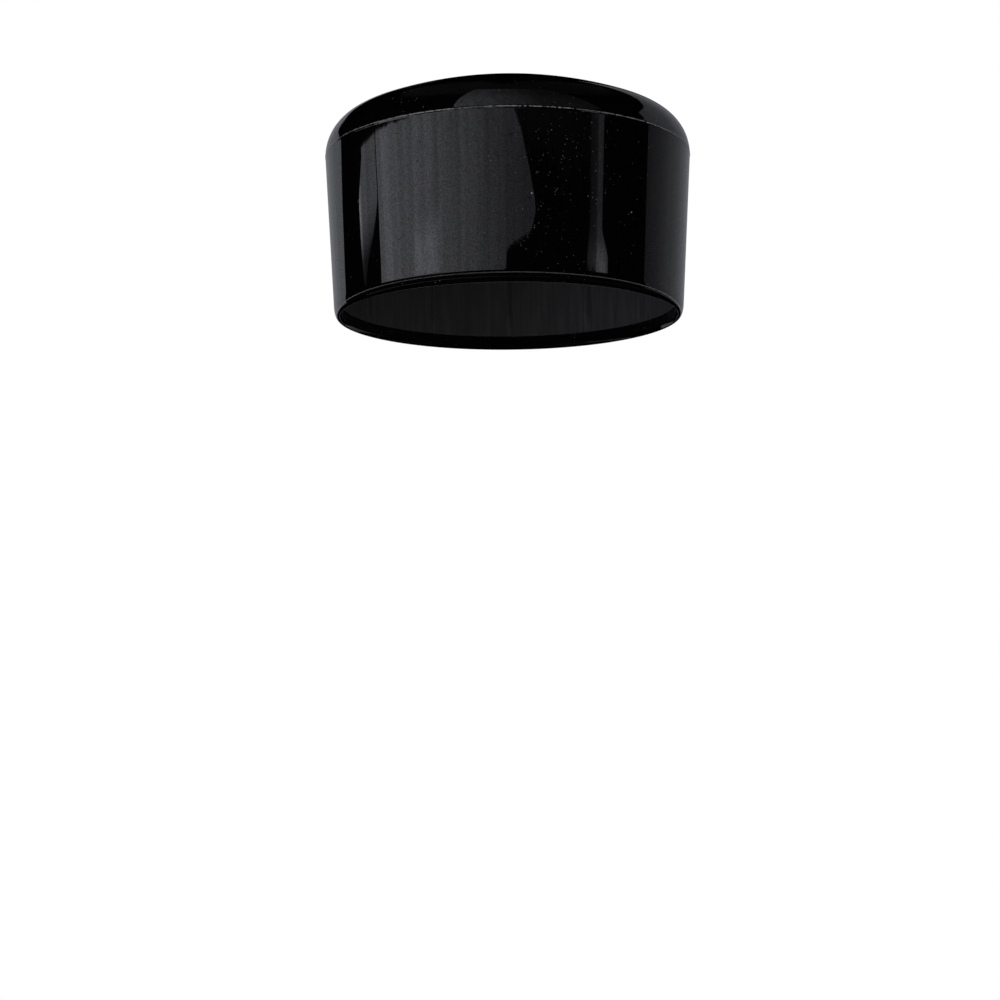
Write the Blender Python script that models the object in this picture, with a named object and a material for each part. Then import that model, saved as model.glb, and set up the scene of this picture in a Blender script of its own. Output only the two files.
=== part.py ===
"""Push-on cap for the top of a round steel fence post, moulded in one piece of glossy black plastic.

The cap stands on its rim. The origin is the centre of the rim's plane and +Z runs up the post's axis.
The skirt narrows from the parting line down to the rim, and above that line a rounded shoulder leads into
a shallow dome. Inside, a socket takes the post up to a flat stop, slim ribs grip it, and the crown is hollow.
"""

import math

import bmesh
import bpy

MM = 0.001

# Outside of the moulding.
RIM_DIAMETER = 50.1 * MM  # where the skirt's straight side would reach the rim's plane
PARTING_DIAMETER = 52.6 * MM  # the widest circle, where the two halves of the mould met
PARTING_HEIGHT = 23.2 * MM
RIM_EDGE_WIDTH = 0.55 * MM  # the rim's outer edge is rounded off as a quarter of an ellipse
RIM_EDGE_HEIGHT = 1.9 * MM
SHOULDER_WIDTH = 5.0 * MM  # the shoulder is part of a quarter of an ellipse
SHOULDER_HEIGHT = 5.5 * MM
SHOULDER_TURN = math.radians(68.5)

# The gate's mark in the middle of the crown.
GATE_RECESS_RADIUS = 2.2 * MM
GATE_RECESS_DEPTH = 0.25 * MM
GATE_STUB_RADIUS = 0.7 * MM
GATE_STUB_HEIGHT = 0.15 * MM
GATE_SLOPE = 0.2 * MM  # how far each of the mark's walls leans

# Inside of the moulding.
SOCKET_DIAMETER = 48.3 * MM  # takes a 48 mm post
SOCKET_LEAD_IN_WIDTH = 0.15 * MM
SOCKET_LEAD_IN_HEIGHT = 0.5 * MM
STOP_HEIGHT = 21.5 * MM  # the post's end rests against this face
STOP_INNER_DIAMETER = 44.4 * MM
STOP_CORNER_RADIUS = 0.5 * MM
CROWN_WALL = 2.0 * MM
CROWN_CORNER_RADIUS = 1.5 * MM

# Grip ribs on the socket's wall.
RIB_COUNT = 12
RIB_WIDTH = 1.3 * MM
RIB_HEIGHT = 0.3 * MM
RIB_START = 2.0 * MM  # the foot of each rib's lead-in
RIB_LEAD_IN = 3.0 * MM
RIB_RUN_OUT = 0.5 * MM

# How finely round shapes are cut into flat faces.
STEPS_ACROSS_RIB = 4
STEPS_BETWEEN_RIBS = 4
RIM_EDGE_STEPS = 4
SHOULDER_STEPS = 7
DOME_STEPS = 6
CEILING_STEPS = 4
CORNER_STEPS = 3

PLASTIC_COLOUR = (0.012, 0.012, 0.013, 1.0)
PLASTIC_ROUGHNESS = 0.12


def clear_scene():
    """Removes every object, so that the cap is alone."""
    for item in list(bpy.data.objects):
        bpy.data.objects.remove(item, do_unlink=True)


def arc(centre, radii, start, end, steps):
    """Points (radius, height) along part of an ellipse, its angles counted up from the outward direction."""
    points = []
    for step in range(steps + 1):
        angle = start + (end - start) * step / steps
        points.append((centre[0] + radii[0] * math.cos(angle), centre[1] + radii[1] * math.sin(angle)))
    return points


def dome_sphere():
    """The dome's radius, and its centre's height, that carry on smoothly from the end of the shoulder."""
    radius = PARTING_DIAMETER / 2 - SHOULDER_WIDTH * (1 - math.cos(SHOULDER_TURN))
    height = PARTING_HEIGHT + SHOULDER_HEIGHT * math.sin(SHOULDER_TURN)
    slope = math.atan2(SHOULDER_WIDTH * math.sin(SHOULDER_TURN), SHOULDER_HEIGHT * math.cos(SHOULDER_TURN))
    return radius / math.cos(slope), height - radius * math.tan(slope)


def gate_mark():
    """From the middle of the crown outwards: a low stub in a shallow round recess."""
    dome_radius, centre_height = dome_sphere()
    edge_angle = math.acos(GATE_RECESS_RADIUS / dome_radius)
    floor = centre_height + dome_radius * math.sin(edge_angle) - GATE_RECESS_DEPTH
    return [
        (0.0, floor + GATE_STUB_HEIGHT),
        (GATE_STUB_RADIUS - GATE_SLOPE, floor + GATE_STUB_HEIGHT),
        (GATE_STUB_RADIUS, floor),
        (GATE_RECESS_RADIUS - GATE_SLOPE, floor),
    ], edge_angle


def outside():
    """The outer side from the middle of the crown down to the rim's plane."""
    mark, edge_angle = gate_mark()
    dome_radius, centre_height = dome_sphere()
    shoulder_end = math.atan2(SHOULDER_WIDTH * math.sin(SHOULDER_TURN), SHOULDER_HEIGHT * math.cos(SHOULDER_TURN))
    dome = arc((0.0, centre_height), (dome_radius, dome_radius), edge_angle, shoulder_end, DOME_STEPS)
    shoulder_centre = (PARTING_DIAMETER / 2 - SHOULDER_WIDTH, PARTING_HEIGHT)
    shoulder = arc(shoulder_centre, (SHOULDER_WIDTH, SHOULDER_HEIGHT), SHOULDER_TURN, 0.0, SHOULDER_STEPS)
    lean = (PARTING_DIAMETER - RIM_DIAMETER) / 2 / PARTING_HEIGHT
    edge_top = RIM_DIAMETER / 2 + lean * RIM_EDGE_HEIGHT
    edge_centre = (edge_top - RIM_EDGE_WIDTH, RIM_EDGE_HEIGHT)
    edge = arc(edge_centre, (RIM_EDGE_WIDTH, RIM_EDGE_HEIGHT), 0.0, -math.pi / 2, RIM_EDGE_STEPS)
    return mark + dome + shoulder[1:] + edge


def inside():
    """The inner side from the mouth up the socket, across the stop and over the crown's ceiling."""
    socket = SOCKET_DIAMETER / 2
    mouth = [(socket + SOCKET_LEAD_IN_WIDTH, 0.0), (socket, SOCKET_LEAD_IN_HEIGHT)]
    rib_end = STOP_HEIGHT - STOP_CORNER_RADIUS - RIB_RUN_OUT
    stations = [RIB_START, RIB_START + RIB_LEAD_IN, rib_end - RIB_RUN_OUT, rib_end]
    wall = [(socket, height) for height in stations]
    corner_centre = (socket - STOP_CORNER_RADIUS, STOP_HEIGHT - STOP_CORNER_RADIUS)
    corner = arc(corner_centre, (STOP_CORNER_RADIUS, STOP_CORNER_RADIUS), 0.0, math.pi / 2, CORNER_STEPS)
    stop_edge = [(STOP_INNER_DIAMETER / 2, STOP_HEIGHT)]
    dome_radius, centre_height = dome_sphere()
    ceiling_radius = dome_radius - CROWN_WALL
    turn_radius = STOP_INNER_DIAMETER / 2 - CROWN_CORNER_RADIUS
    turn_angle = math.acos(turn_radius / (ceiling_radius - CROWN_CORNER_RADIUS))
    turn_height = centre_height + (ceiling_radius - CROWN_CORNER_RADIUS) * math.sin(turn_angle)
    turn_size = (CROWN_CORNER_RADIUS, CROWN_CORNER_RADIUS)
    turn = arc((turn_radius, turn_height), turn_size, 0.0, turn_angle, CORNER_STEPS)
    ceiling_size = (ceiling_radius, ceiling_radius)
    ceiling = arc((0.0, centre_height), ceiling_size, turn_angle, math.pi / 2, CEILING_STEPS)
    return mouth + wall + corner + stop_edge + turn + ceiling[1:]


def ring_angles():
    """The angles of each ring's points, with how far up a rib's rounded back each one is, from 0 to 1."""
    pitch = 2 * math.pi / RIB_COUNT
    half_rib = math.asin(RIB_WIDTH / SOCKET_DIAMETER)
    gap = (pitch - 2 * half_rib) / STEPS_BETWEEN_RIBS
    angles = []
    for rib in range(RIB_COUNT):
        middle = rib * pitch
        for step in range(STEPS_ACROSS_RIB):
            across = 2 * step / STEPS_ACROSS_RIB - 1
            angles.append((middle + across * half_rib, math.cos(across * math.pi / 2)))
        for step in range(STEPS_BETWEEN_RIBS):
            angles.append((middle + half_rib + step * gap, 0.0))
    return angles


def rib_share(radius, height):
    """How much of its full height a rib has at a point of the profile: all of it between its two sloping ends."""
    rib_end = STOP_HEIGHT - STOP_CORNER_RADIUS - RIB_RUN_OUT
    on_wall = abs(radius - SOCKET_DIAMETER / 2) < SOCKET_LEAD_IN_WIDTH / 2
    full_from = RIB_START + RIB_LEAD_IN
    full_to = rib_end - RIB_RUN_OUT
    return 1.0 if on_wall and full_from - MM / 10 < height < full_to + MM / 10 else 0.0


def turned_shell(name, profile):
    """A closed shell from a profile that starts and ends on the axis, with the socket's ribs drawn inwards."""
    angles = ring_angles()
    shell = bmesh.new()
    rings = []
    for radius, height in profile[1:-1]:
        share = rib_share(radius, height)
        ring = []
        for angle, rib in angles:
            reach = radius - share * rib * RIB_HEIGHT
            ring.append(shell.verts.new((reach * math.cos(angle), reach * math.sin(angle), height)))
        rings.append(ring)
    first = shell.verts.new((0.0, 0.0, profile[0][1]))
    last = shell.verts.new((0.0, 0.0, profile[-1][1]))
    count = len(angles)
    for k in range(count):
        after = (k + 1) % count
        shell.faces.new((first, rings[0][k], rings[0][after]))
        for upper, lower in zip(rings, rings[1:]):
            shell.faces.new((upper[k], lower[k], lower[after], upper[after]))
        shell.faces.new((rings[-1][k], last, rings[-1][after]))
    mesh = bpy.data.meshes.new(name)
    shell.to_mesh(mesh)
    shell.free()
    return mesh


def glossy_plastic():
    """Black polypropylene with the shine of a polished mould."""
    material = bpy.data.materials.new("glossy_black_plastic")
    material.use_nodes = True
    surface = material.node_tree.nodes["Principled BSDF"]
    surface.inputs["Base Color"].default_value = PLASTIC_COLOUR
    surface.inputs["Roughness"].default_value = PLASTIC_ROUGHNESS
    surface.inputs["Metallic"].default_value = 0.0
    return material


def post_cap():
    """The whole moulding: skirt, crown, socket, stop and grip ribs are one piece of plastic."""
    mesh = turned_shell("post_cap", outside() + inside())
    mesh.materials.append(glossy_plastic())
    mesh.shade_smooth()
    mesh.set_sharp_from_angle(angle=math.radians(30))
    cap = bpy.data.objects.new("post_cap", mesh)
    bpy.context.collection.objects.link(cap)


clear_scene()
post_cap()
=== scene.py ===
"""The finished look of a push-on fence post cap: one moulding in glossy black plastic, in a small studio.

The cap stands on its rim at the origin, with +Z up the post's axis. Geometry Nodes turn its shell from one
outline, which carries the grip ribs, the ragged flash along the parting line and the change of finish.
"""

import math

import bpy
from mathutils import Matrix, Vector


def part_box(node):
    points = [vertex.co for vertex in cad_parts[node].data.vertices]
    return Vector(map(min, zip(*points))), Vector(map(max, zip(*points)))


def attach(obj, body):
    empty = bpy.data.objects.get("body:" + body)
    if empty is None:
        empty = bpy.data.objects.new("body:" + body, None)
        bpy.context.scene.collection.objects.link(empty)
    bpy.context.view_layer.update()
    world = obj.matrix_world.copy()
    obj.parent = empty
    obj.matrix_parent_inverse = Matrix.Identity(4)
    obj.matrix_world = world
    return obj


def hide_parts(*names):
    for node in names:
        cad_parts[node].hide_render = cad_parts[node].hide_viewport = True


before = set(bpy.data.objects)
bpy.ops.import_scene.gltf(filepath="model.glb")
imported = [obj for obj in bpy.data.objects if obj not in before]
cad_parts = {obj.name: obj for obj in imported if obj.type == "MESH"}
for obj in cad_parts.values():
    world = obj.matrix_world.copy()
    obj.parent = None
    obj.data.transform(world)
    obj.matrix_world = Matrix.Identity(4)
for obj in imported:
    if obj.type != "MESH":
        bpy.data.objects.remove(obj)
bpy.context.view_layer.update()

MM = 0.001
CAP_LOW, CAP_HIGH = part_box("post_cap")

# Outside of the moulding.
RIM_RADIUS = 25.05 * MM  # where the skirt's straight side would reach the rim's plane
PARTING_RADIUS = (CAP_HIGH[0] - CAP_LOW[0]) / 2
PARTING_HEIGHT = 23.2 * MM
RIM_EDGE_WIDTH = 0.55 * MM
RIM_EDGE_HEIGHT = 1.9 * MM
SHOULDER_WIDTH = 5.0 * MM
SHOULDER_HEIGHT = 5.5 * MM
SHOULDER_TURN = math.radians(68.5)

# Flash left along the parting line.
FLASH_WIDTH = 0.16 * MM
FLASH_HEIGHT = 0.07 * MM

# The gate's mark in the middle of the crown.
GATE_RECESS_RADIUS = 2.2 * MM
GATE_RECESS_DEPTH = 0.25 * MM
GATE_STUB_RADIUS = 0.7 * MM
GATE_STUB_HEIGHT = 0.15 * MM
GATE_STUB_LEAN = MM / 10  # how far the stub's wall leans in, and then the recess's wall
GATE_RECESS_LEAN = MM / 5
GATE_STUB_CREASE = MM / 12  # how round the stub's corners are, and then the recess's
GATE_RECESS_CREASE = MM / 9

# Inside of the moulding.
SOCKET_RADIUS = 24.15 * MM
SOCKET_LEAD_IN_WIDTH = 0.15 * MM
SOCKET_LEAD_IN_HEIGHT = 0.5 * MM
MOUTH_CREASE = MM / 20  # how round the mouth's corner is, and then the lead-in's
LEAD_IN_CREASE = MM / 10
STOP_HEIGHT = 21.5 * MM
STOP_INNER_RADIUS = 22.2 * MM
STOP_CORNER_RADIUS = 0.5 * MM
STOP_EDGE_CREASE = 0.2 * MM
CROWN_WALL = 2.0 * MM
CROWN_CORNER_RADIUS = 1.5 * MM

# Grip ribs on the socket's wall.
RIB_COUNT = 12
RIB_WIDTH = 1.3 * MM
RIB_HEIGHT = 0.3 * MM
RIB_START = 2.0 * MM
RIB_LEAD_IN = 3.0 * MM
RIB_RUN_OUT = 0.5 * MM

# How finely the shell is turned.
STEPS_ROUND = 384
STEP_GATHERING = 0.7  # how closely the steps gather at the ribs, from 0 to 1

# Finish of the outer skin.
FILM_WEIGHT = 0.47  # how strongly the thin film left by the polished mould adds to the shine, at its thickest
DUSTY_PATCH = (8.5, -24.5, 17.0)  # in millimetres, on the front of the skirt, right of the middle
DUSTY_PATCH_SIZE = (3.0, 9.5)  # in millimetres: where the dust starts to thin out, and where it ends
JET_BLACK = (0.0006, 0.0006, 0.0007, 1.0)
# Grey of the dust specks, and of the painted highlight along the flash's crest.
DUST_AND_HIGHLIGHT_GREY = (0.16, 0.16, 0.165, 1.0)
WAVE_DEPTH = 0.02 * MM
MARK_DEPTH = 0.01 * MM

# Finish of the socket's side.
SATIN_DARK = (0.014, 0.014, 0.015, 1.0)
SATIN_LIGHT = (0.022, 0.022, 0.024, 1.0)
SOCKET_DUST = (0.13, 0.13, 0.13, 1.0)
DRAG_DEPTH = 0.02 * MM

# The viewpoint: a little below the rim, looking up at the cap.
VIEW_DISTANCE = 306.2 * MM
VIEW_DROP = 61.7 * MM
VIEW_SIDE = -1.6 * MM
VIEW_PITCH = math.radians(3.93)
VIEW_ROLL = math.radians(-0.45)
VIEW_LENS = 77.4
VIEW_RISE = 0.10

# The studio's softboxes stand on one large sphere round the cap.
PANEL_DISTANCE = 3.0
FLAG_INSET = 0.1  # how far in front of the softboxes a black flag stands
PANEL_STEPS = (96, 64)
DAYLIGHT = (0.90, 0.92, 1.0, 1.0)
WHITE = (1.0, 1.0, 1.0, 1.0)
BLACK = (0.0, 0.0, 0.0, 1.0)
TABLE_GREY = (0.82, 0.82, 0.82, 1.0)
FLOOR_REACH = 3.0
FLOOR_DROP = 0.2 * MM  # how far the table's top lies under the rim, so that the two don't flicker
FLOOR_FADE = (12 * MM, 45 * MM)  # where the floor starts to show in the gloss, and where it shows fully


# ---------------------------------------------------------------- outline of the moulding


def arc(centre, radii, start, end, steps):
    """Points (radius, height) along part of an ellipse, its angles counted up from the outward direction."""
    points = []
    for step in range(steps + 1):
        angle = start + (end - start) * step / steps
        points.append((centre[0] + radii[0] * math.cos(angle), centre[1] + radii[1] * math.sin(angle)))
    return points


def line(start, end, steps):
    """Evenly spaced points from start to end, both included."""
    points = []
    for step in range(steps + 1):
        share = step / steps
        points.append((start[0] + (end[0] - start[0]) * share, start[1] + (end[1] - start[1]) * share))
    return points


def rounded(before, corner, after, radius, steps=4):
    """A corner softened by a short curve between its two sides."""
    corner_point = Vector(corner)
    start = corner_point + (Vector(before) - corner_point).normalized() * radius
    end = corner_point + (Vector(after) - corner_point).normalized() * radius
    points = []
    for step in range(steps + 1):
        share = step / steps
        point = start.lerp(corner_point, share).lerp(corner_point.lerp(end, share), share)
        points.append((point.x, point.y))
    return points


def dome_sphere():
    """The dome's radius, its centre's height, and the angle at which it meets the shoulder."""
    radius = PARTING_RADIUS - SHOULDER_WIDTH * (1 - math.cos(SHOULDER_TURN))
    height = PARTING_HEIGHT + SHOULDER_HEIGHT * math.sin(SHOULDER_TURN)
    slope = math.atan2(SHOULDER_WIDTH * math.sin(SHOULDER_TURN), SHOULDER_HEIGHT * math.cos(SHOULDER_TURN))
    return radius / math.cos(slope), height - radius * math.tan(slope), slope


def crown_outline():
    """From the middle of the crown over the gate's mark and the dome to the end of the shoulder."""
    dome_radius, centre_height, slope = dome_sphere()
    edge_angle = math.acos(GATE_RECESS_RADIUS / dome_radius)
    lip = (GATE_RECESS_RADIUS, centre_height + dome_radius * math.sin(edge_angle))
    floor = lip[1] - GATE_RECESS_DEPTH
    stub_top = floor + GATE_STUB_HEIGHT
    middle = (0.0, stub_top)
    stub_edge = (GATE_STUB_RADIUS - GATE_STUB_LEAN, stub_top)
    stub_foot = (GATE_STUB_RADIUS, floor)
    recess_foot = (GATE_RECESS_RADIUS - GATE_RECESS_LEAN, floor)
    beyond_lip = (GATE_RECESS_RADIUS + MM, lip[1])
    past_lip = edge_angle - 0.004  # clear of the lip's rounding
    points = [middle]
    points += rounded(middle, stub_edge, stub_foot, GATE_STUB_CREASE)
    points += rounded(stub_edge, stub_foot, recess_foot, GATE_STUB_CREASE)
    points += rounded(stub_foot, recess_foot, lip, GATE_RECESS_CREASE)
    points += rounded(recess_foot, lip, beyond_lip, GATE_RECESS_CREASE)
    points += arc((0.0, centre_height), (dome_radius, dome_radius), past_lip, slope, 30)
    shoulder_centre = (PARTING_RADIUS - SHOULDER_WIDTH, PARTING_HEIGHT)
    shoulder_radii = (SHOULDER_WIDTH, SHOULDER_HEIGHT)
    shoulder = arc(shoulder_centre, shoulder_radii, SHOULDER_TURN, 0.0, 28)
    return points + shoulder[1:-1]


def skirt_outline():
    """The skirt below the flash, and the rim's rounded edge, which carries on smoothly from it."""
    lean = (PARTING_RADIUS - RIM_RADIUS) / PARTING_HEIGHT
    edge_start = math.atan(lean * RIM_EDGE_HEIGHT / RIM_EDGE_WIDTH)
    edge_top = RIM_EDGE_HEIGHT * (1 - math.sin(edge_start))
    heights = [PARTING_HEIGHT - FLASH_WIDTH, PARTING_HEIGHT - 2 * FLASH_WIDTH, edge_top + MM / 5, edge_top]
    foot, below, above_edge, join = [(RIM_RADIUS + lean * height, height) for height in heights]
    side = [foot] + line(below, above_edge, 8) + [join]
    edge_centre = (join[0] - RIM_EDGE_WIDTH * math.cos(edge_start), RIM_EDGE_HEIGHT)
    edge = arc(edge_centre, (RIM_EDGE_WIDTH, RIM_EDGE_HEIGHT), -edge_start, -math.pi / 2, 16)
    return side + edge[1:]


def mouth_outline():
    """The rim's flat and the socket's lead-in."""
    outer = (RIM_RADIUS - RIM_EDGE_WIDTH, 0.0)
    inner = (SOCKET_RADIUS + SOCKET_LEAD_IN_WIDTH, 0.0)
    wall = (SOCKET_RADIUS, SOCKET_LEAD_IN_HEIGHT)
    above = (SOCKET_RADIUS, RIB_START)
    return rounded(outer, inner, wall, MOUTH_CREASE) + rounded(inner, wall, above, LEAD_IN_CREASE)


def socket_outline():
    """The socket's wall at the ribs' ends, with more steps where the ribs slope."""
    rib_end = STOP_HEIGHT - STOP_CORNER_RADIUS - RIB_RUN_OUT
    full_from = RIB_START + RIB_LEAD_IN
    full_to = rib_end - RIB_RUN_OUT
    lead_in = line((SOCKET_RADIUS, RIB_START), (SOCKET_RADIUS, full_from), 8)
    wall = line((SOCKET_RADIUS, full_from), (SOCKET_RADIUS, full_to), 4)
    run_out = line((SOCKET_RADIUS, full_to), (SOCKET_RADIUS, rib_end), 5)
    return lead_in + wall[1:] + run_out[1:]


def ceiling_outline():
    """The stop's ring, the step up from it, and the crown's ceiling to the middle."""
    corner_centre = (SOCKET_RADIUS - STOP_CORNER_RADIUS, STOP_HEIGHT - STOP_CORNER_RADIUS)
    corner = arc(corner_centre, (STOP_CORNER_RADIUS, STOP_CORNER_RADIUS), 0.0, math.pi / 2, 6)
    dome_radius, centre_height, _ = dome_sphere()
    ceiling_radius = dome_radius - CROWN_WALL
    turn_radius = STOP_INNER_RADIUS - CROWN_CORNER_RADIUS
    turn_angle = math.acos(turn_radius / (ceiling_radius - CROWN_CORNER_RADIUS))
    turn_height = centre_height + (ceiling_radius - CROWN_CORNER_RADIUS) * math.sin(turn_angle)
    step_edge = (STOP_INNER_RADIUS, STOP_HEIGHT)
    lip = rounded(corner[-1], step_edge, (STOP_INNER_RADIUS, turn_height), STOP_EDGE_CREASE)
    turn = arc((turn_radius, turn_height), (CROWN_CORNER_RADIUS, CROWN_CORNER_RADIUS), 0.0, turn_angle, 8)
    ceiling = arc((0.0, centre_height), (ceiling_radius, ceiling_radius), turn_angle, math.pi / 2, 14)
    return corner + lip + turn + ceiling[1:]


def smooth_step(value):
    """Eases 0 to 1 in and out."""
    value = min(1.0, max(0.0, value))
    return value * value * (3 - 2 * value)


def rib_share(height):
    """How much of its full height a rib has at a height on the socket's wall."""
    rib_end = STOP_HEIGHT - STOP_CORNER_RADIUS - RIB_RUN_OUT
    rise = smooth_step((height - RIB_START) / RIB_LEAD_IN)
    return rise * smooth_step((rib_end - height) / RIB_RUN_OUT)


def moulding_outline():
    """Each point of the section as (radius, height, rib share, flash share, inside or not), axis to axis."""
    crest = (PARTING_RADIUS, PARTING_HEIGHT)
    flash = [(*crest, 0.0, 1.0, 0.0)]
    outer = [(*point, 0.0, 0.0, 0.0) for point in crown_outline()] + flash
    outer += [(*point, 0.0, 0.0, 0.0) for point in skirt_outline()]
    mouth = [(*point, 0.0, 0.0, 0.0) for point in mouth_outline()]
    socket = [(*point, rib_share(point[1]), 0.0, 1.0) for point in socket_outline()]
    ceiling = [(*point, 0.0, 0.0, 1.0) for point in ceiling_outline()]
    return outer + mouth + socket + ceiling


def outline_object():
    """A chain of edges along the section, whose points carry the shares as attributes."""
    points = moulding_outline()
    mesh = bpy.data.meshes.new("post_cap_outline")
    edges = [(k, k + 1) for k in range(len(points) - 1)]
    mesh.from_pydata([(p[0], 0.0, p[1]) for p in points], edges, [])
    for column, name in ((2, "rib"), (3, "flash"), (4, "inside")):
        values = mesh.attributes.new(name, "FLOAT", "POINT").data
        for value, point in zip(values, points):
            value.value = point[column]
    item = bpy.data.objects.new("post_cap_outline", mesh)
    bpy.context.collection.objects.link(item)
    return item


# ---------------------------------------------------------------- node helpers


class Tree:
    """Adds nodes to a node tree and links them, so that a tree reads as a list of steps."""

    def __init__(self, tree):
        self.tree = tree

    def add(self, kind, values=None, **settings):
        """A node with its settings, and its inputs set to numbers or linked to other nodes' outputs."""
        node = self.tree.nodes.new(kind)
        for name, value in settings.items():
            setattr(node, name, value)
        for name, value in (values or {}).items():
            socket = node.inputs[name]
            if isinstance(value, bpy.types.NodeSocket):
                self.tree.links.new(value, socket)
            else:
                socket.default_value = value
        return node

    def math(self, operation, *values, clamp=False):
        """One step of arithmetic on fields."""
        kind = "ShaderNodeMath"
        return self.add(kind, dict(enumerate(values)), operation=operation, use_clamp=clamp).outputs[0]

    def vector(self, operation, *values):
        """One step of arithmetic on vectors."""
        return self.add("ShaderNodeVectorMath", dict(enumerate(values)), operation=operation).outputs[0]

    def whole(self, operation, *values):
        """One step of arithmetic on whole numbers."""
        return self.add("FunctionNodeIntegerMath", dict(enumerate(values)), operation=operation).outputs[0]

    def ramp(self, value, low, high, to_low=0.0, to_high=1.0):
        """Eases a value from one range to another, and holds it at the ends."""
        values = {"Value": value, "From Min": low, "From Max": high, "To Min": to_low, "To Max": to_high}
        return self.add("ShaderNodeMapRange", values, interpolation_type="SMOOTHSTEP").outputs["Result"]

    def curve(self, value, points):
        """Reads a value off straight lines between (value, result) points, and holds it at the ends."""
        low, high = points[0][0], points[-1][0]
        most = max(result for _, result in points)
        share = self.add("ShaderNodeMapRange", {"Value": value, "From Min": low, "From Max": high}).outputs[0]
        node = self.add("ShaderNodeValToRGB", {"Fac": share})
        stops = node.color_ramp.elements
        stops.remove(stops[1])
        for number, (place, result) in enumerate(points):
            stop = stops[0] if number == 0 else stops.new((place - low) / (high - low))
            stop.color = (result / most, result / most, result / most, 1.0)
        return self.math("MULTIPLY", node.outputs["Color"], most)

    def blend(self, share, low, high, kind="FLOAT"):
        """Mixes two numbers, or two colours with kind RGBA."""
        values = {"Factor": share, "A": low, "B": high}
        return self.add("ShaderNodeMix", values, data_type=kind).outputs["Result"]

    def noise(self, place, scale, detail):
        """Smooth noise from 0 to 1, with that many waves to one unit of place."""
        return self.add("ShaderNodeTexNoise", {"Vector": place, "Scale": scale, "Detail": detail}).outputs[0]

    def feed(self, node, name, value):
        """Links a value to a node's input."""
        self.tree.links.new(value, node.inputs[name])


def add_socket(tree, name, kind, value=None, output=False):
    """A named input or output of a group."""
    way = "OUTPUT" if output else "INPUT"
    socket = tree.interface.new_socket(name=name, in_out=way, socket_type=kind)
    if value is not None:
        socket.default_value = value
    return socket


# ---------------------------------------------------------------- the shell, turned by Geometry Nodes


def turning_tree():
    """Turns an outline round Z, draws the ribs inwards, pulls the flash out and gives both finishes."""
    tree = bpy.data.node_groups.new("Turned Moulding", "GeometryNodeTree")
    add_socket(tree, "Outline", "NodeSocketGeometry")
    add_socket(tree, "Steps Round", "NodeSocketInt", 96)
    add_socket(tree, "Step Gathering", "NodeSocketFloat", 0.0)
    add_socket(tree, "Rib Count", "NodeSocketInt", 8)
    add_socket(tree, "Rib Width", "NodeSocketFloat", MM)
    add_socket(tree, "Rib Height", "NodeSocketFloat", MM)
    add_socket(tree, "Socket Radius", "NodeSocketFloat", MM)
    add_socket(tree, "Flash Height", "NodeSocketFloat", MM)
    add_socket(tree, "Outer Finish", "NodeSocketMaterial")
    add_socket(tree, "Socket Finish", "NodeSocketMaterial")
    add_socket(tree, "Moulding", "NodeSocketGeometry", output=True)
    steps = Tree(tree)
    given = steps.add("NodeGroupInput").outputs
    outline = given["Outline"]
    count = steps.add("GeometryNodeAttributeDomainSize", {"Geometry": outline}).outputs["Point Count"]
    columns = steps.whole("ADD", given["Steps Round"], 1)
    grid = steps.add("GeometryNodeMeshGrid", {"Vertices X": columns, "Vertices Y": count}).outputs["Mesh"]
    index = steps.add("GeometryNodeInputIndex").outputs[0]
    column = steps.whole("DIVIDE_FLOOR", index, count)
    row = steps.whole("MODULO", index, count)
    turn = steps.math("DIVIDE", steps.math("MULTIPLY", column, math.tau), given["Steps Round"])
    angle = gathered_angle(steps, turn, given)
    place = sampled(steps, outline, row, steps.add("GeometryNodeInputPosition").outputs[0], "FLOAT_VECTOR")
    parts = steps.add("ShaderNodeSeparateXYZ", {"Vector": place}).outputs
    shares = {}
    for name in ("rib", "flash", "inside"):
        field = steps.add("GeometryNodeInputNamedAttribute", {"Name": name}, data_type="FLOAT").outputs[0]
        shares[name] = sampled(steps, outline, row, field, "FLOAT")
    direction = steps.add(
        "ShaderNodeCombineXYZ", {"X": steps.math("COSINE", angle), "Y": steps.math("SINE", angle)}
    ).outputs[0]
    inward = steps.math("MULTIPLY", rib_back(steps, angle, given), shares["rib"])
    outward = steps.math("MULTIPLY", flash_rise(steps, direction, given), shares["flash"])
    reach = steps.math("ADD", steps.math("SUBTRACT", parts["X"], inward), outward)
    around = steps.add("ShaderNodeVectorMath", {0: direction, "Scale": reach}, operation="SCALE").outputs[0]
    up = steps.add("ShaderNodeCombineXYZ", {"Z": parts["Z"]}).outputs[0]
    place = steps.vector("ADD", around, up)
    shell = steps.add("GeometryNodeSetPosition", {"Geometry": grid, "Position": place})
    marked = steps.add(
        "GeometryNodeStoreNamedAttribute",
        {"Geometry": shell.outputs[0], "Name": "inside", "Value": shares["inside"]},
        data_type="FLOAT",
        domain="POINT",
    )
    closed = steps.add("GeometryNodeMergeByDistance", {"Geometry": marked.outputs[0], "Distance": MM / 1000})
    smooth = steps.add("GeometryNodeSetShadeSmooth", {"Geometry": closed.outputs[0]})
    whole = steps.add("GeometryNodeRealizeInstances", {"Geometry": smooth.outputs[0]})
    finish_shell(steps, whole.outputs[0], given)
    return tree


def gathered_angle(steps, turn, given):
    """The angle of each step, with the steps drawn together at the ribs, where the wall bends most."""
    wave = steps.math("SINE", steps.math("MULTIPLY", turn, given["Rib Count"]))
    shift = steps.math("MULTIPLY", wave, steps.math("DIVIDE", given["Step Gathering"], given["Rib Count"]))
    return steps.math("SUBTRACT", turn, shift)


def sampled(steps, outline, row, field, kind):
    """A field's value at the outline's point of that number."""
    values = {"Geometry": outline, "Value": field, "Index": row}
    return steps.add("GeometryNodeSampleIndex", values, data_type=kind, domain="POINT").outputs["Value"]


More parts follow.
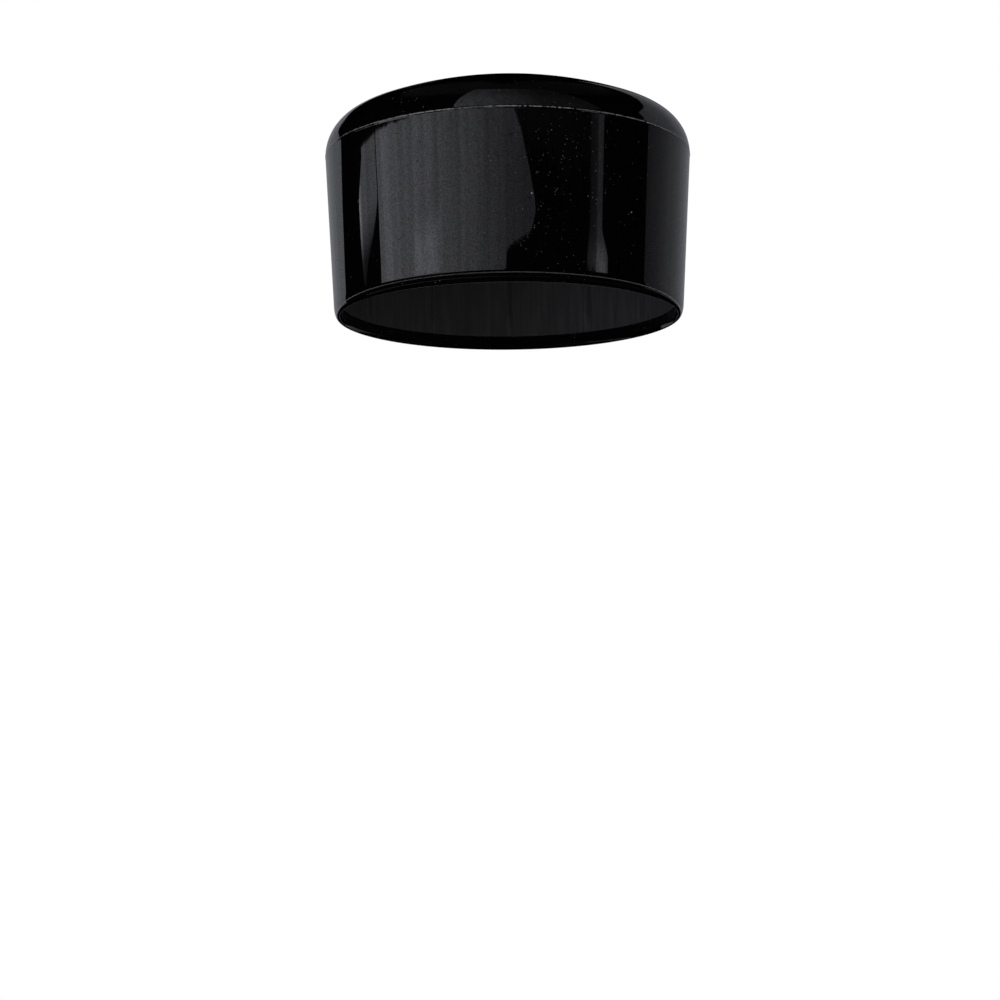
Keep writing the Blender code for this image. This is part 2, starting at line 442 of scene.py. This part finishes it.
def rib_back(steps, angle, given):
    """How far a rib stands out at an angle: a rounded back that runs out softly on both sides."""
    pitch = steps.math("DIVIDE", math.tau, given["Rib Count"])
    nearest = steps.math("MULTIPLY", steps.math("ROUND", steps.math("DIVIDE", angle, pitch)), pitch)
    away = steps.math("MULTIPLY", steps.math("SUBTRACT", angle, nearest), given["Socket Radius"])
    share = steps.math("DIVIDE", steps.math("ABSOLUTE", away), steps.math("DIVIDE", given["Rib Width"], 2.0))
    back = steps.ramp(share, 0.25, 1.0, 1.0, 0.0)
    return steps.math("MULTIPLY", back, given["Rib Height"])


def flash_rise(steps, direction, given):
    """The flash's height round the parting line: ragged, and worn down to nothing in places."""
    rough = steps.noise(direction, 45.0, 4.0)
    slow = steps.noise(direction, 3.0, 2.0)
    ragged = steps.ramp(rough, 0.3, 0.7, 0.25, 1.0)
    worn = steps.ramp(slow, 0.3, 0.65, 0.35, 1.0)
    return steps.math("MULTIPLY", steps.math("MULTIPLY", ragged, worn), given["Flash Height"])


def finish_shell(steps, geometry, given):
    """The polished outer finish everywhere, and then the satin one on the socket's side."""
    outer = steps.add("GeometryNodeSetMaterial", {"Geometry": geometry, "Material": given["Outer Finish"]})
    inside = steps.add("GeometryNodeInputNamedAttribute", {"Name": "inside"}, data_type="FLOAT").outputs[0]
    chosen = steps.add("FunctionNodeCompare", {"A": inside, "B": 0.9}, operation="GREATER_THAN").outputs[0]
    values = {"Geometry": outer.outputs[0], "Selection": chosen, "Material": given["Socket Finish"]}
    both = steps.add("GeometryNodeSetMaterial", values)
    steps.add("NodeGroupOutput", {"Moulding": both.outputs[0]})


def turned_moulding(outer_finish, socket_finish):
    """The cap as one plain mesh, made from its outline by the turning tree."""
    source = outline_object()
    modifier = source.modifiers.new("turning", "NODES")
    tree = turning_tree()
    modifier.node_group = tree
    settings = {
        "Steps Round": STEPS_ROUND,
        "Step Gathering": STEP_GATHERING,
        "Rib Count": RIB_COUNT,
        "Rib Width": RIB_WIDTH,
        "Rib Height": RIB_HEIGHT,
        "Socket Radius": SOCKET_RADIUS,
        "Flash Height": FLASH_HEIGHT,
        "Outer Finish": outer_finish,
        "Socket Finish": socket_finish,
    }
    for item in tree.interface.items_tree:
        if item.name in settings:
            modifier[item.identifier] = settings[item.name]
    graph = bpy.context.evaluated_depsgraph_get()
    mesh = bpy.data.meshes.new_from_object(source.evaluated_get(graph), depsgraph=graph)
    source.modifiers.remove(modifier)
    bpy.data.objects.remove(source, do_unlink=True)
    mesh.name = "post_cap_moulding"
    cap = bpy.data.objects.new("post_cap_moulding", mesh)
    bpy.context.collection.objects.link(cap)
    return cap


# ---------------------------------------------------------------- finishes


def group_tree(name, inputs, outputs):
    """An empty shader group with named inputs and outputs, and its steps, input and output nodes."""
    tree = bpy.data.node_groups.new(name, "ShaderNodeTree")
    for label, kind, value in inputs:
        add_socket(tree, label, kind, value)
    for label, kind in outputs:
        add_socket(tree, label, kind, output=True)
    steps = Tree(tree)
    return tree, steps, steps.add("NodeGroupInput").outputs


def waviness_group():
    """Slow unevenness that a mould leaves in a shiny surface, drawn out along the way the plastic flowed."""
    numbers = [("Position", "NodeSocketVector", None), ("Wave Length", "NodeSocketFloat", 10.0)]
    numbers += [("Drawn Out", "NodeSocketFloat", 0.3)]
    tree, steps, given = group_tree("Moulded Waviness", numbers, [("Height", "NodeSocketFloat")])
    stretch = steps.add("ShaderNodeCombineXYZ", {"X": 1.0, "Y": 1.0, "Z": given["Drawn Out"]}).outputs[0]
    place = steps.vector("MULTIPLY", given["Position"], stretch)
    scale = steps.math("DIVIDE", 1.0, given["Wave Length"])
    steps.add("NodeGroupOutput", {"Height": steps.noise(place, scale, 0.6)})
    return tree


def scratch_group():
    """Hairline scratches, broken into short lengths and gathered in patches."""
    numbers = [("Position", "NodeSocketVector", None), ("Spacing", "NodeSocketFloat", 5.0)]
    numbers += [("Line Width", "NodeSocketFloat", 0.01), ("Spread", "NodeSocketFloat", 0.5)]
    tree, steps, given = group_tree("Hairline Scratches", numbers, [("Mask", "NodeSocketFloat")])
    scale = steps.math("DIVIDE", 1.0, given["Spacing"])
    place = given["Position"]
    away = steps.math("ABSOLUTE", steps.math("SUBTRACT", steps.noise(place, scale, 1.0), 0.5))
    lines = steps.ramp(away, 0.0, given["Line Width"], 1.0, 0.0)
    fade = steps.math("ADD", given["Spread"], 0.08)
    patches = steps.ramp(steps.noise(place, 0.9, 2.0), given["Spread"], fade)
    steps.add("NodeGroupOutput", {"Mask": steps.math("MULTIPLY", lines, patches)})
    return tree


def dust_group():
    """Sparse specks of dust, each a small dot of its own size."""
    numbers = [("Position", "NodeSocketVector", None), ("Spacing", "NodeSocketFloat", 2.0)]
    numbers += [("Largest", "NodeSocketFloat", 0.1), ("Share", "NodeSocketFloat", 0.3)]
    tree, steps, given = group_tree("Dust Specks", numbers, [("Mask", "NodeSocketFloat")])
    scale = steps.math("DIVIDE", 1.0, given["Spacing"])
    cells = steps.add("ShaderNodeTexVoronoi", {"Vector": given["Position"], "Scale": scale})
    away = steps.math("MULTIPLY", cells.outputs["Distance"], given["Spacing"])
    chance = steps.add("ShaderNodeSeparateColor", {"Color": cells.outputs["Color"]}).outputs
    size = steps.math("MULTIPLY", steps.math("POWER", chance["Green"], 3.0), given["Largest"])
    dot = steps.math("LESS_THAN", away, size)
    kept = steps.math("LESS_THAN", chance["Red"], given["Share"])
    steps.add("NodeGroupOutput", {"Mask": steps.math("MULTIPLY", dot, kept)})
    return tree


class Effects:
    """The finishes' shader groups: the dust for both, the waviness and scratches for the polished one."""

    def __init__(self):
        self.waviness = waviness_group()
        self.scratches = scratch_group()
        self.dust = dust_group()


def new_finish(name):
    """A material with only its Principled BSDF and output, its steps, and its place in millimetres."""
    material = bpy.data.materials.new(name)
    material.use_nodes = True
    steps = Tree(material.node_tree)
    surface = material.node_tree.nodes["Principled BSDF"]
    place = steps.add("ShaderNodeTexCoord").outputs["Object"]
    millimetres = steps.add("ShaderNodeVectorMath", {0: place, "Scale": 1 / MM}, operation="SCALE").outputs[0]
    return material, steps, surface, millimetres


def use(steps, group, **values):
    """A group placed in a material with this finish's own values; underscores stand for spaces."""
    node = steps.add("ShaderNodeGroup", node_tree=group)
    for name, value in values.items():
        socket = node.inputs[name.replace("_", " ")]
        if isinstance(value, bpy.types.NodeSocket):
            steps.tree.links.new(value, socket)
        else:
            socket.default_value = value
    return node.outputs[0]


def polished_plastic(effects):
    """The outer skin: glossy black from a polished mould, with dust, hairlines, and a scuffed parting line
    whose crest carries a painted highlight in its colour.
    """
    material, steps, surface, place = new_finish("polished_black_plastic")
    dust, marks = dust_and_flash_highlight(steps, effects, place)
    scratches = use(steps, effects.scratches, Position=place, Spacing=7.0, Line_Width=0.0035, Spread=0.56)
    # The base colour lightens with dust specks and with the painted highlight along the flash's crest.
    steps.feed(surface, "Base Color", steps.blend(marks, JET_BLACK, DUST_AND_HIGHLIGHT_GREY, "RGBA"))
    sheen = steps.ramp(steps.noise(place, 0.16, 5.0), 0.4, 0.75, 0.01, 0.03)
    worn = steps.math("ADD", sheen, steps.math("MULTIPLY", scratches, 0.12))
    steps.feed(surface, "Roughness", steps.blend(marks, worn, 0.55))
    film = steps.ramp(steps.noise(place, 5.0, 1.0), 0.36, 0.64, 0.0, FILM_WEIGHT)
    steps.feed(surface, "Coat Weight", film)
    surface.inputs["Coat Roughness"].default_value = 0.02
    surface.inputs["Specular IOR Level"].default_value = 0.36
    waves = use(steps, effects.waviness, Position=place, Wave_Length=8.0, Drawn_Out=0.35)
    slow = steps.add("ShaderNodeBump", {"Strength": 1.0, "Distance": WAVE_DEPTH, "Height": waves}).outputs[0]
    fine_height = steps.math("SUBTRACT", steps.math("MULTIPLY", dust, 0.6), scratches)
    fine = {"Strength": 0.35, "Distance": MARK_DEPTH, "Height": fine_height, "Normal": slow}
    steps.feed(surface, "Normal", steps.add("ShaderNodeBump", fine).outputs[0])
    return material


def dust_and_flash_highlight(steps, effects, place):
    """The dust's specks, and then all that whitens the skin's colour: specks, powder, and the flash's crest,
    partly worn and partly a painted highlight.
    """
    share = steps.ramp(steps.noise(place, 0.11, 3.0), 0.45, 0.65, 0.04, 0.5)
    dust = use(steps, effects.dust, Position=place, Spacing=1.5, Largest=0.11, Share=share)
    away = steps.add("ShaderNodeVectorMath", {0: place, 1: DUSTY_PATCH}, operation="DISTANCE")
    dusty = steps.ramp(away.outputs["Value"], DUSTY_PATCH_SIZE[0], DUSTY_PATCH_SIZE[1], 0.9, 0.0)
    thick = steps.math("MAXIMUM", share, dusty)
    powder = use(steps, effects.dust, Position=place, Spacing=0.3, Largest=0.08, Share=thick)
    specks = steps.math("MAXIMUM", dust, steps.math("MULTIPLY", powder, 0.3))
    return dust, steps.math("MAXIMUM", specks, flash_wear_and_highlight(steps, place))


def flash_wear_and_highlight(steps, place):
    """The flash's crest, lighter in colour partly from wear and partly as a painted highlight, which comes
    and goes round the parting line.
    """
    height = steps.add("ShaderNodeSeparateXYZ", {"Vector": place}).outputs["Z"]
    away = steps.math("ABSOLUTE", steps.math("SUBTRACT", height, PARTING_HEIGHT / MM))
    width = steps.ramp(steps.noise(place, 3.6, 4.0), 0.34, 0.66, 0.0, 0.085)
    # How light the crest's colour is round the line: partly whitened wear, partly painted highlight.
    whitening_and_highlight = steps.ramp(steps.noise(place, 0.12, 2.0), 0.35, 0.6, 0.3, 0.65)
    return steps.math("MULTIPLY", steps.math("LESS_THAN", away, width), whitening_and_highlight)


def satin_plastic(effects):
    """The socket's side: satin black from the mould's core, with drag marks along the way it came out."""
    material, steps, surface, place = new_finish("satin_black_plastic")
    drag = steps.noise(steps.vector("MULTIPLY", place, (1.0, 1.0, 0.06)), 2.2, 4.0)
    dust = use(steps, effects.dust, Position=place, Spacing=2.4, Largest=0.12, Share=0.3)
    tint = steps.blend(steps.ramp(drag, 0.3, 0.75), SATIN_DARK, SATIN_LIGHT, "RGBA")
    steps.feed(surface, "Base Color", steps.blend(dust, tint, SOCKET_DUST, "RGBA"))
    steps.feed(surface, "Roughness", steps.ramp(drag, 0.3, 0.7, 0.36, 0.46))
    height = steps.math("ADD", drag, steps.math("MULTIPLY", steps.noise(place, 9.0, 2.0), 0.25))
    bump = {"Strength": 0.4, "Distance": DRAG_DEPTH, "Height": height}
    steps.feed(surface, "Normal", steps.add("ShaderNodeBump", bump).outputs[0])
    return material


# ---------------------------------------------------------------- studio


def sphere_point(azimuth, elevation, distance):
    """A point round the cap: azimuth 0 is towards the viewer and 90 to the right, elevation above the rim."""
    turn, rise = math.radians(azimuth), math.radians(elevation)
    level = distance * math.cos(rise)
    return (level * math.sin(turn), -level * math.cos(turn), distance * math.sin(rise))


def between(points, key):
    """The value at a key on straight lines between (key, value) points, held at the ends."""
    if key <= points[0][0]:
        return points[0][1]
    for (low, start), (high, end) in zip(points, points[1:]):
        if key <= high:
            return start + (end - start) * (key - low) / (high - low)
    return points[-1][1]


def bare_material(name):
    """A material without any nodes, and its steps."""
    material = bpy.data.materials.new(name)
    material.use_nodes = True
    material.node_tree.nodes.clear()
    return material, Tree(material.node_tree)


def panel_material(name, across, upward, soft, wobble, streaky):
    """A sheer softbox face: its brightness across and up, streaks, and uneven edges that fade."""
    material, steps = bare_material(name)
    place = steps.add("ShaderNodeAttribute", attribute_name="direction").outputs["Vector"]
    angles = steps.add("ShaderNodeSeparateXYZ", {"Vector": place}).outputs
    inward = steps.add("ShaderNodeAttribute", attribute_name="inward").outputs["Fac"]
    shift = steps.math("MULTIPLY", steps.math("SUBTRACT", steps.noise(place, 0.45, 4.0), 0.5), 2 * wobble)
    edge = steps.ramp(steps.math("ADD", inward, shift), 0.0, soft)
    power = steps.math("MULTIPLY", steps.curve(angles["X"], across), steps.curve(angles["Y"], upward))
    streak_place = steps.vector("MULTIPLY", place, (0.22, 0.06, 0.0))
    streaks = steps.ramp(steps.noise(streak_place, 1.0, 4.0), 0.25, 0.75, 1 - streaky, 1 + streaky)
    strength = steps.math("MULTIPLY", steps.math("MULTIPLY", power, streaks), edge)
    glow = steps.add("ShaderNodeEmission", {"Color": DAYLIGHT, "Strength": strength})
    clear = steps.add("ShaderNodeBsdfTransparent")
    both = steps.add("ShaderNodeAddShader", {0: glow.outputs[0], 1: clear.outputs[0]})
    steps.add("ShaderNodeOutputMaterial", {"Surface": both.outputs[0]})
    return material


def curved_panel(name, left, right, bottom, top, distance, crisp=1.0):
    """Part of a sphere round the cap, whose points know their direction and how far inside the edge they are.

    The sides are (elevation, azimuth) points and the top and bottom (azimuth, elevation) points. Crisp is how
    many times sharper the top and bottom edges are than the sides.
    """
    lowest = min(elevation for _, elevation in bottom)
    highest = max(elevation for _, elevation in top)
    columns, rows = PANEL_STEPS
    points, faces, directions, inwards = [], [], [], []
    for row in range(rows + 1):
        level = lowest + (highest - lowest) * row / rows
        start, end = between(left, level), between(right, level)
        for column in range(columns + 1):
            azimuth = start + (end - start) * column / columns
            floor_level, ceiling_level = between(bottom, azimuth), between(top, azimuth)
            elevation = floor_level + (ceiling_level - floor_level) * row / rows
            points.append(sphere_point(azimuth, elevation, distance))
            directions.append((azimuth, elevation, 0.0))
            upright = min(elevation - floor_level, ceiling_level - elevation) * crisp
            inwards.append(min(azimuth - start, end - azimuth, upright))
    for row in range(rows):
        for column in range(columns):
            first = row * (columns + 1) + column
            faces.append((first, first + 1, first + columns + 2, first + columns + 1))
    mesh = bpy.data.meshes.new(name)
    mesh.from_pydata(points, [], faces)
    direction = mesh.attributes.new("direction", "FLOAT_VECTOR", "POINT")
    direction.data.foreach_set("vector", [angle for angles in directions for angle in angles])
    inward = mesh.attributes.new("inward", "FLOAT", "POINT")
    inward.data.foreach_set("value", inwards)
    return mesh


def staged_panel(name, mesh, material):
    """Puts a panel in the studio, seen only in reflections and by its light."""
    mesh.materials.append(material)
    panel = bpy.data.objects.new(name, mesh)
    bpy.context.collection.objects.link(panel)
    panel.visible_camera = False
    panel.visible_shadow = False
    return panel


def light_panel(name, left, right, bottom, top, across, upward=((0, 1), (1, 1)), **face):
    """A curved softbox, whose brightness is (azimuth, brightness) points times (elevation, share) points."""
    settings = {"soft": 0.4, "wobble": 0.0, "streaky": 0.22, "crisp": 1.0, "behind": 0.0, **face}
    distance = PANEL_DISTANCE + settings.pop("behind")
    mesh = curved_panel(name, left, right, bottom, top, distance, settings.pop("crisp"))
    return staged_panel(name, mesh, panel_material(name, across, upward, **settings))


def dark_flag(name, left, right, bottom, top):
    """A curved black card, which hides part of the softbox behind it in reflections."""
    material, steps = bare_material(name)
    black = steps.add("ShaderNodeEmission", {"Color": BLACK, "Strength": 0.0})
    steps.add("ShaderNodeOutputMaterial", {"Surface": black.outputs[0]})
    mesh = curved_panel(name, left, right, bottom, top, PANEL_DISTANCE - FLAG_INSET)
    return staged_panel(name, mesh, material)


def floor():
    """A pale table top just under the rim, seen only from above, and not in the gloss close to the rim."""
    mesh = bpy.data.meshes.new("studio_floor")
    corners = [(-1, -1), (1, -1), (1, 1), (-1, 1)]
    points = [(x * FLOOR_REACH, y * FLOOR_REACH, -FLOOR_DROP) for x, y in corners]
    mesh.from_pydata(points, [], [(0, 1, 2, 3)])
    material, steps = bare_material("studio_floor")
    geometry = steps.add("ShaderNodeNewGeometry").outputs
    flat = steps.vector("MULTIPLY", geometry["Position"], (1.0, 1.0, 0.0))
    away = steps.add("ShaderNodeVectorMath", {0: flat}, operation="LENGTH").outputs["Value"]
    faded = steps.ramp(away, RIM_RADIUS + FLOOR_FADE[0], RIM_RADIUS + FLOOR_FADE[1], 1.0, 0.0)
    glossy = steps.add("ShaderNodeLightPath").outputs["Is Glossy Ray"]
    unseen = steps.math("MAXIMUM", geometry["Backfacing"], steps.math("MULTIPLY", glossy, faded))
    pale = steps.add("ShaderNodeBsdfDiffuse", {"Color": TABLE_GREY})
    clear = steps.add("ShaderNodeBsdfTransparent")
    both = steps.add("ShaderNodeMixShader", {0: unseen, 1: pale.outputs[0], 2: clear.outputs[0]})
    steps.add("ShaderNodeOutputMaterial", {"Surface": both.outputs[0]})
    mesh.materials.append(material)
    item = bpy.data.objects.new("studio_floor", mesh)
    bpy.context.collection.objects.link(item)
    item.visible_diffuse = False
    item.visible_shadow = False


def surroundings():
    """White behind the cap and as fill light, and dark in reflections, as in a studio with black flags."""
    world = bpy.data.worlds.new("studio")
    bpy.context.scene.world = world
    world.use_nodes = True
    world.node_tree.nodes.clear()
    steps = Tree(world.node_tree)
    glossy = steps.add("ShaderNodeLightPath").outputs["Is Glossy Ray"]
    back = steps.add("ShaderNodeBackground", {"Color": steps.blend(glossy, WHITE, BLACK, "RGBA")})
    steps.add("ShaderNodeOutputWorld", {"Surface": back.outputs[0]})


def front_softboxes():
    """A wide one at the left that bulges to the right, a strip beyond it, and a narrow strip at the right."""
    light_panel(
        "wide_softbox",
        left=[(4.5, -89)],
        right=[(4.5, -4), (7.05, -1), (7.3, 8), (7.5, 14), (8.1, 17), (8.5, 16.5)]
        + [(9.4, 13), (10.3, 9), (11, 4), (16, -4)],
        bottom=[(-90, 4.6)],
        top=[(-88, 12.3), (-62, 11.75), (-55, 12.2), (-48, 16)],
        across=[(-89, 1.3), (-78, 1.4), (-70, 1.0), (-53, 1.35), (-45, 1.02)]
        + [(-22, 0.77), (-5, 0.44), (17, 0.28)],
        soft=0.25,
        wobble=0.5,
        crisp=4.0,
    )
    light_panel(
        "left_strip_softbox",
        left=[(8.6, -106), (10, -108), (11.2, -108), (12.3, -103)],
        right=[(8.6, -104.5), (9.2, -101), (9.7, -95), (10.2, -91.5), (10.6, -89.5), (12.3, -89.5)],
        bottom=[(-110, 8.6)],
        top=[(-110, 12.6), (-90, 12.3)],
        across=[(-108, 2.0), (-106.3, 1.4), (-105, 0.8), (-98, 0.7), (-91, 0.85)],
        upward=[(8.6, 0.05), (9.4, 0.15), (10.1, 0.7), (10.6, 1)],
        soft=0.3,
        wobble=0.4,
        crisp=4.0,
    )
    light_panel(
        "strip_softbox",
        left=[(4.5, 50), (7.4, 50), (8.4, 51.5)],
        right=[(4.5, 65.5), (7.9, 65.5), (8.5, 60.8)],
        bottom=[(0, 6.9)],
        top=[(0, 16)],
        across=[(50, 0.2), (54, 0.32), (56.5, 0.4), (57.5, 1.3), (60, 1.4), (63, 1.2), (66, 0.5)],
        upward=[(6.9, 1.0), (7.6, 0.9), (8.2, 0.4), (9, 0.27), (16, 0.22)],
        soft=0.5,
        wobble=0.4,
    )


def rear_softboxes():
    """One round the back, a second that brightens its upper right, and a flag that keeps a gap in it dark."""
    light_panel(
        "rear_softbox",
        left=[(-8, 97.5), (12, 96), (30, 95), (35, 103), (43, 125), (47, 145), (48, 150)],
        right=[(-8, 228), (10, 228.5), (12, 230.5), (14, 234), (20, 226)]
        + [(24, 218), (30, 212), (32, 188), (48, 180)],
        bottom=[(0, -8)],
        top=[(0, 48)],
        across=[(96, 0.12), (108, 0.15), (118, 0.2), (140, 0.24), (180, 0.28), (222, 0.36), (234, 0.5)],
        wobble=0.3,
        streaky=0.06,
    )
    light_panel(
        "crown_softbox",
        left=[(15, 96), (30, 95), (35, 103), (42, 122)],
        right=[(15, 128)],
        bottom=[(0, 15)],
        top=[(0, 42)],
        across=[(96, 0.18), (108, 0.12), (128, 0.0)],
        soft=1.0,
        streaky=0.06,
        behind=0.1,
    )
    dark_flag(
        "rear_flag",
        left=[(0, 166)],
        right=[(0, 186)],
        bottom=[(166, 18), (176, 17), (186, 22)],
        top=[(0, 50)],
    )


def upper_softboxes():
    """One over the front for the crown, a faint veil to the right of the wide one, and a dim ceiling."""
    light_panel(
        "overhead_softbox",
        left=[(22, -34)],
        right=[(22, 62), (40, 55), (56, 45), (66, 30)],
        bottom=[(0, 23)],
        top=[(0, 66)],
        across=[(-34, 0.7), (-22, 0.66), (0, 0.37), (10, 0.27), (22, 0.12), (60, 0.07)],
        upward=[(23, 1), (40, 0.9), (52, 0.55), (64, 0.35), (66, 0.3)],
        soft=0.5,
        wobble=1.5,
    )
    light_panel(
        "veil_softbox",
        left=[(10, -8)],
        right=[(10, 54)],
        bottom=[(-8, 10.4), (20, 9.4), (54, 9)],
        top=[(0, 15.5)],
        across=[(-8, 0.04), (14, 0.03), (54, 0.015)],
        upward=[(9, 0.3), (11, 1)],
        soft=1.0,
        wobble=1.5,
        behind=0.1,
    )
    light_panel(
        "ceiling_softbox",
        left=[(52, -150)],
        right=[(52, 150)],
        bottom=[(0, 52)],
        top=[(0, 88)],
        across=[(-150, 0.02), (-60, 0.04), (60, 0.02), (150, 0.02)],
        soft=6.0,
        wobble=5.0,
        behind=0.2,
    )


def lower_softboxes():
    """A thin one that draws the rim's line, a hot spot low in the wide one, and light from below."""
    light_panel(
        "low_softbox",
        left=[(0, -110)],
        right=[(0, 110)],
        bottom=[(0, -17.9)],
        top=[(0, -16.7)],
        across=[(-110, 1.2), (-50, 1.1), (0, 0.5), (30, 0.25), (110, 0.3)],
        wobble=0.3,
    )
    light_panel(
        "hot_spot",
        left=[(0, -64)],
        right=[(0, -41)],
        bottom=[(0, 5.8)],
        top=[(0, 9)],
        across=[(-64, 0.7), (-41, 0.7)],
        soft=6.0,
        wobble=1.0,
        crisp=5.0,
        behind=0.1,
    )
    underneath = light_panel(
        "underneath_softbox",
        left=[(0, -110)],
        right=[(0, -50)],
        bottom=[(0, -60)],
        top=[(0, -25)],
        across=[(-110, 3.0), (-50, 3.0)],
    )
    underneath.visible_glossy = False


def studio():
    """The backdrop, the table and the softboxes."""
    surroundings()
    floor()
    front_softboxes()
    rear_softboxes()
    upper_softboxes()
    lower_softboxes()


def camera():
    """Looks slightly up at the cap from the front."""
    lens = bpy.data.cameras.new("camera")
    lens.lens = VIEW_LENS
    lens.sensor_width = 36.0
    lens.shift_y = VIEW_RISE
    lens.clip_start = 0.01
    lens.clip_end = 50.0
    item = bpy.data.objects.new("camera", lens)
    bpy.context.collection.objects.link(item)
    turn = Matrix.Rotation(math.pi / 2 + VIEW_PITCH, 4, "X") @ Matrix.Rotation(VIEW_ROLL, 4, "Z")
    item.matrix_world = Matrix.Translation((VIEW_SIDE, -VIEW_DISTANCE, -VIEW_DROP)) @ turn
    bpy.context.scene.camera = item


# ---------------------------------------------------------------- putting it together

camera()
studio()
bpy.context.scene.view_settings.view_transform = "Standard"

shared_effects = Effects()
moulding = turned_moulding(polished_plastic(shared_effects), satin_plastic(shared_effects))
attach(moulding, "root")
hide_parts("post_cap")
